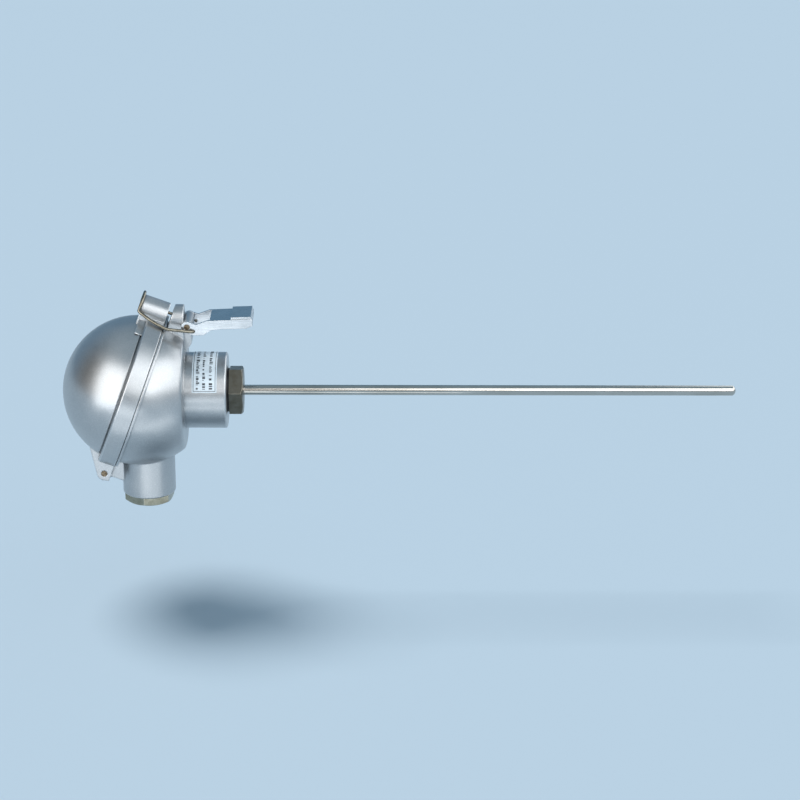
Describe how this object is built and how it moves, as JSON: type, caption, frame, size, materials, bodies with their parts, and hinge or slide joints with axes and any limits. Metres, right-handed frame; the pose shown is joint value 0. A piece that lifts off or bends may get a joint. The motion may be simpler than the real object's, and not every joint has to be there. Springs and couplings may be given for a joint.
{
  "type": "resistance temperature probe with connection head",
  "caption": "Straight temperature probe: slim closed stem on a hexagon fitting, round connection head with a hinged high-domed lid, lever latch and cable gland.",
  "frame": {"origin": "centre of the outer face of the hexagon of the stem fitting, where the bare stem begins", "axes": "+X along the stem to its tip, +Z from the stem axis to the latch, so the cable gland points to -Z and the lid to -X, and the hinge axes lie along Y"},
  "size_m": [0.3924, 0.0936, 0.1278],
  "materials": {
    "silver_paint": "die-cast aluminium with silver paint, satin",
    "stainless_tube": "drawn stainless steel tube, fine ground",
    "stainless_turned": "turned and milled stainless steel, bright",
    "stainless_sheet": "pressed stainless steel sheet, satin",
    "spring_wire": "drawn spring steel wire, bright",
    "bare_steel": "bright steel pin, slightly tarnished",
    "black_rubber": "moulded nitrile rubber, matt",
    "mineral_powder": "packed mineral powder, matt",
    "potting_resin": "cast epoxy resin, matt",
    "ceramic_white": "steatite, unglazed",
    "red_insulation": "extruded insulation, red",
    "white_insulation": "extruded insulation, white",
    "bare_brass": "milled brass, bright",
    "nickel_brass": "nickel-plated brass, bright",
    "label_film": "printed film, smooth"
  },
  "bodies": {
    "root": {"head_body": "silver_paint", "lid_gasket": "black_rubber", "hinge_pin": "bare_steel", "lever_pin": "bare_steel", "stem_fitting": "stainless_turned", "neck_seal": "black_rubber", "stem_tube": "stainless_tube", "stem_filling": "mineral_powder", "potting_plug": "potting_resin", "rtd_element": "ceramic_white", "lead_red_1": "red_insulation", "lead_red_2": "red_insulation", "lead_white_1": "white_insulation", "lead_white_2": "white_insulation", "insert_plate": "stainless_sheet", "insert_springs": "spring_wire", "terminal_block": "ceramic_white", "terminal_clamp_1": "bare_brass", "terminal_clamp_2": "bare_brass", "terminal_clamp_3": "bare_brass", "terminal_clamp_4": "bare_brass", "terminal_screws": "nickel_brass", "block_screws": "stainless_turned", "earth_screw": "stainless_turned", "earth_washer": "bare_brass", "gland_nut": "nickel_brass", "gland_washer": "nickel_brass", "gland_seal": "black_rubber", "type_label": "label_film"},
    "lid_body": {"lid": "silver_paint"},
    "lever_body": {"latch_lever": "stainless_sheet"},
    "bail_body": {"latch_bail": "spring_wire"}
  },
  "joints": [
    {"name": "lid_hinge", "type": "hinge", "parent": "root", "child": "lid_body", "pos_m": [-0.08144, 0, -0.04797], "axis": [0, -1, 0], "range_deg": [0, 110]},
    {"name": "lever_pivot", "type": "hinge", "parent": "root", "child": "lever_body", "pos_m": [-0.0312, 0, 0.0417], "axis": [0, -1, 0], "range_deg": [0, 100]},
    {"name": "bail_pivot", "type": "hinge", "parent": "lever_body", "child": "bail_body", "pos_m": [-0.0275, 0, 0.0392], "axis": [0, -1, 0], "range_deg": [-112, 0]}
  ],
  "couplings": [
    {"joint": "bail_pivot", "follows": "lever_pivot", "ratio": -1.1}
  ]
}
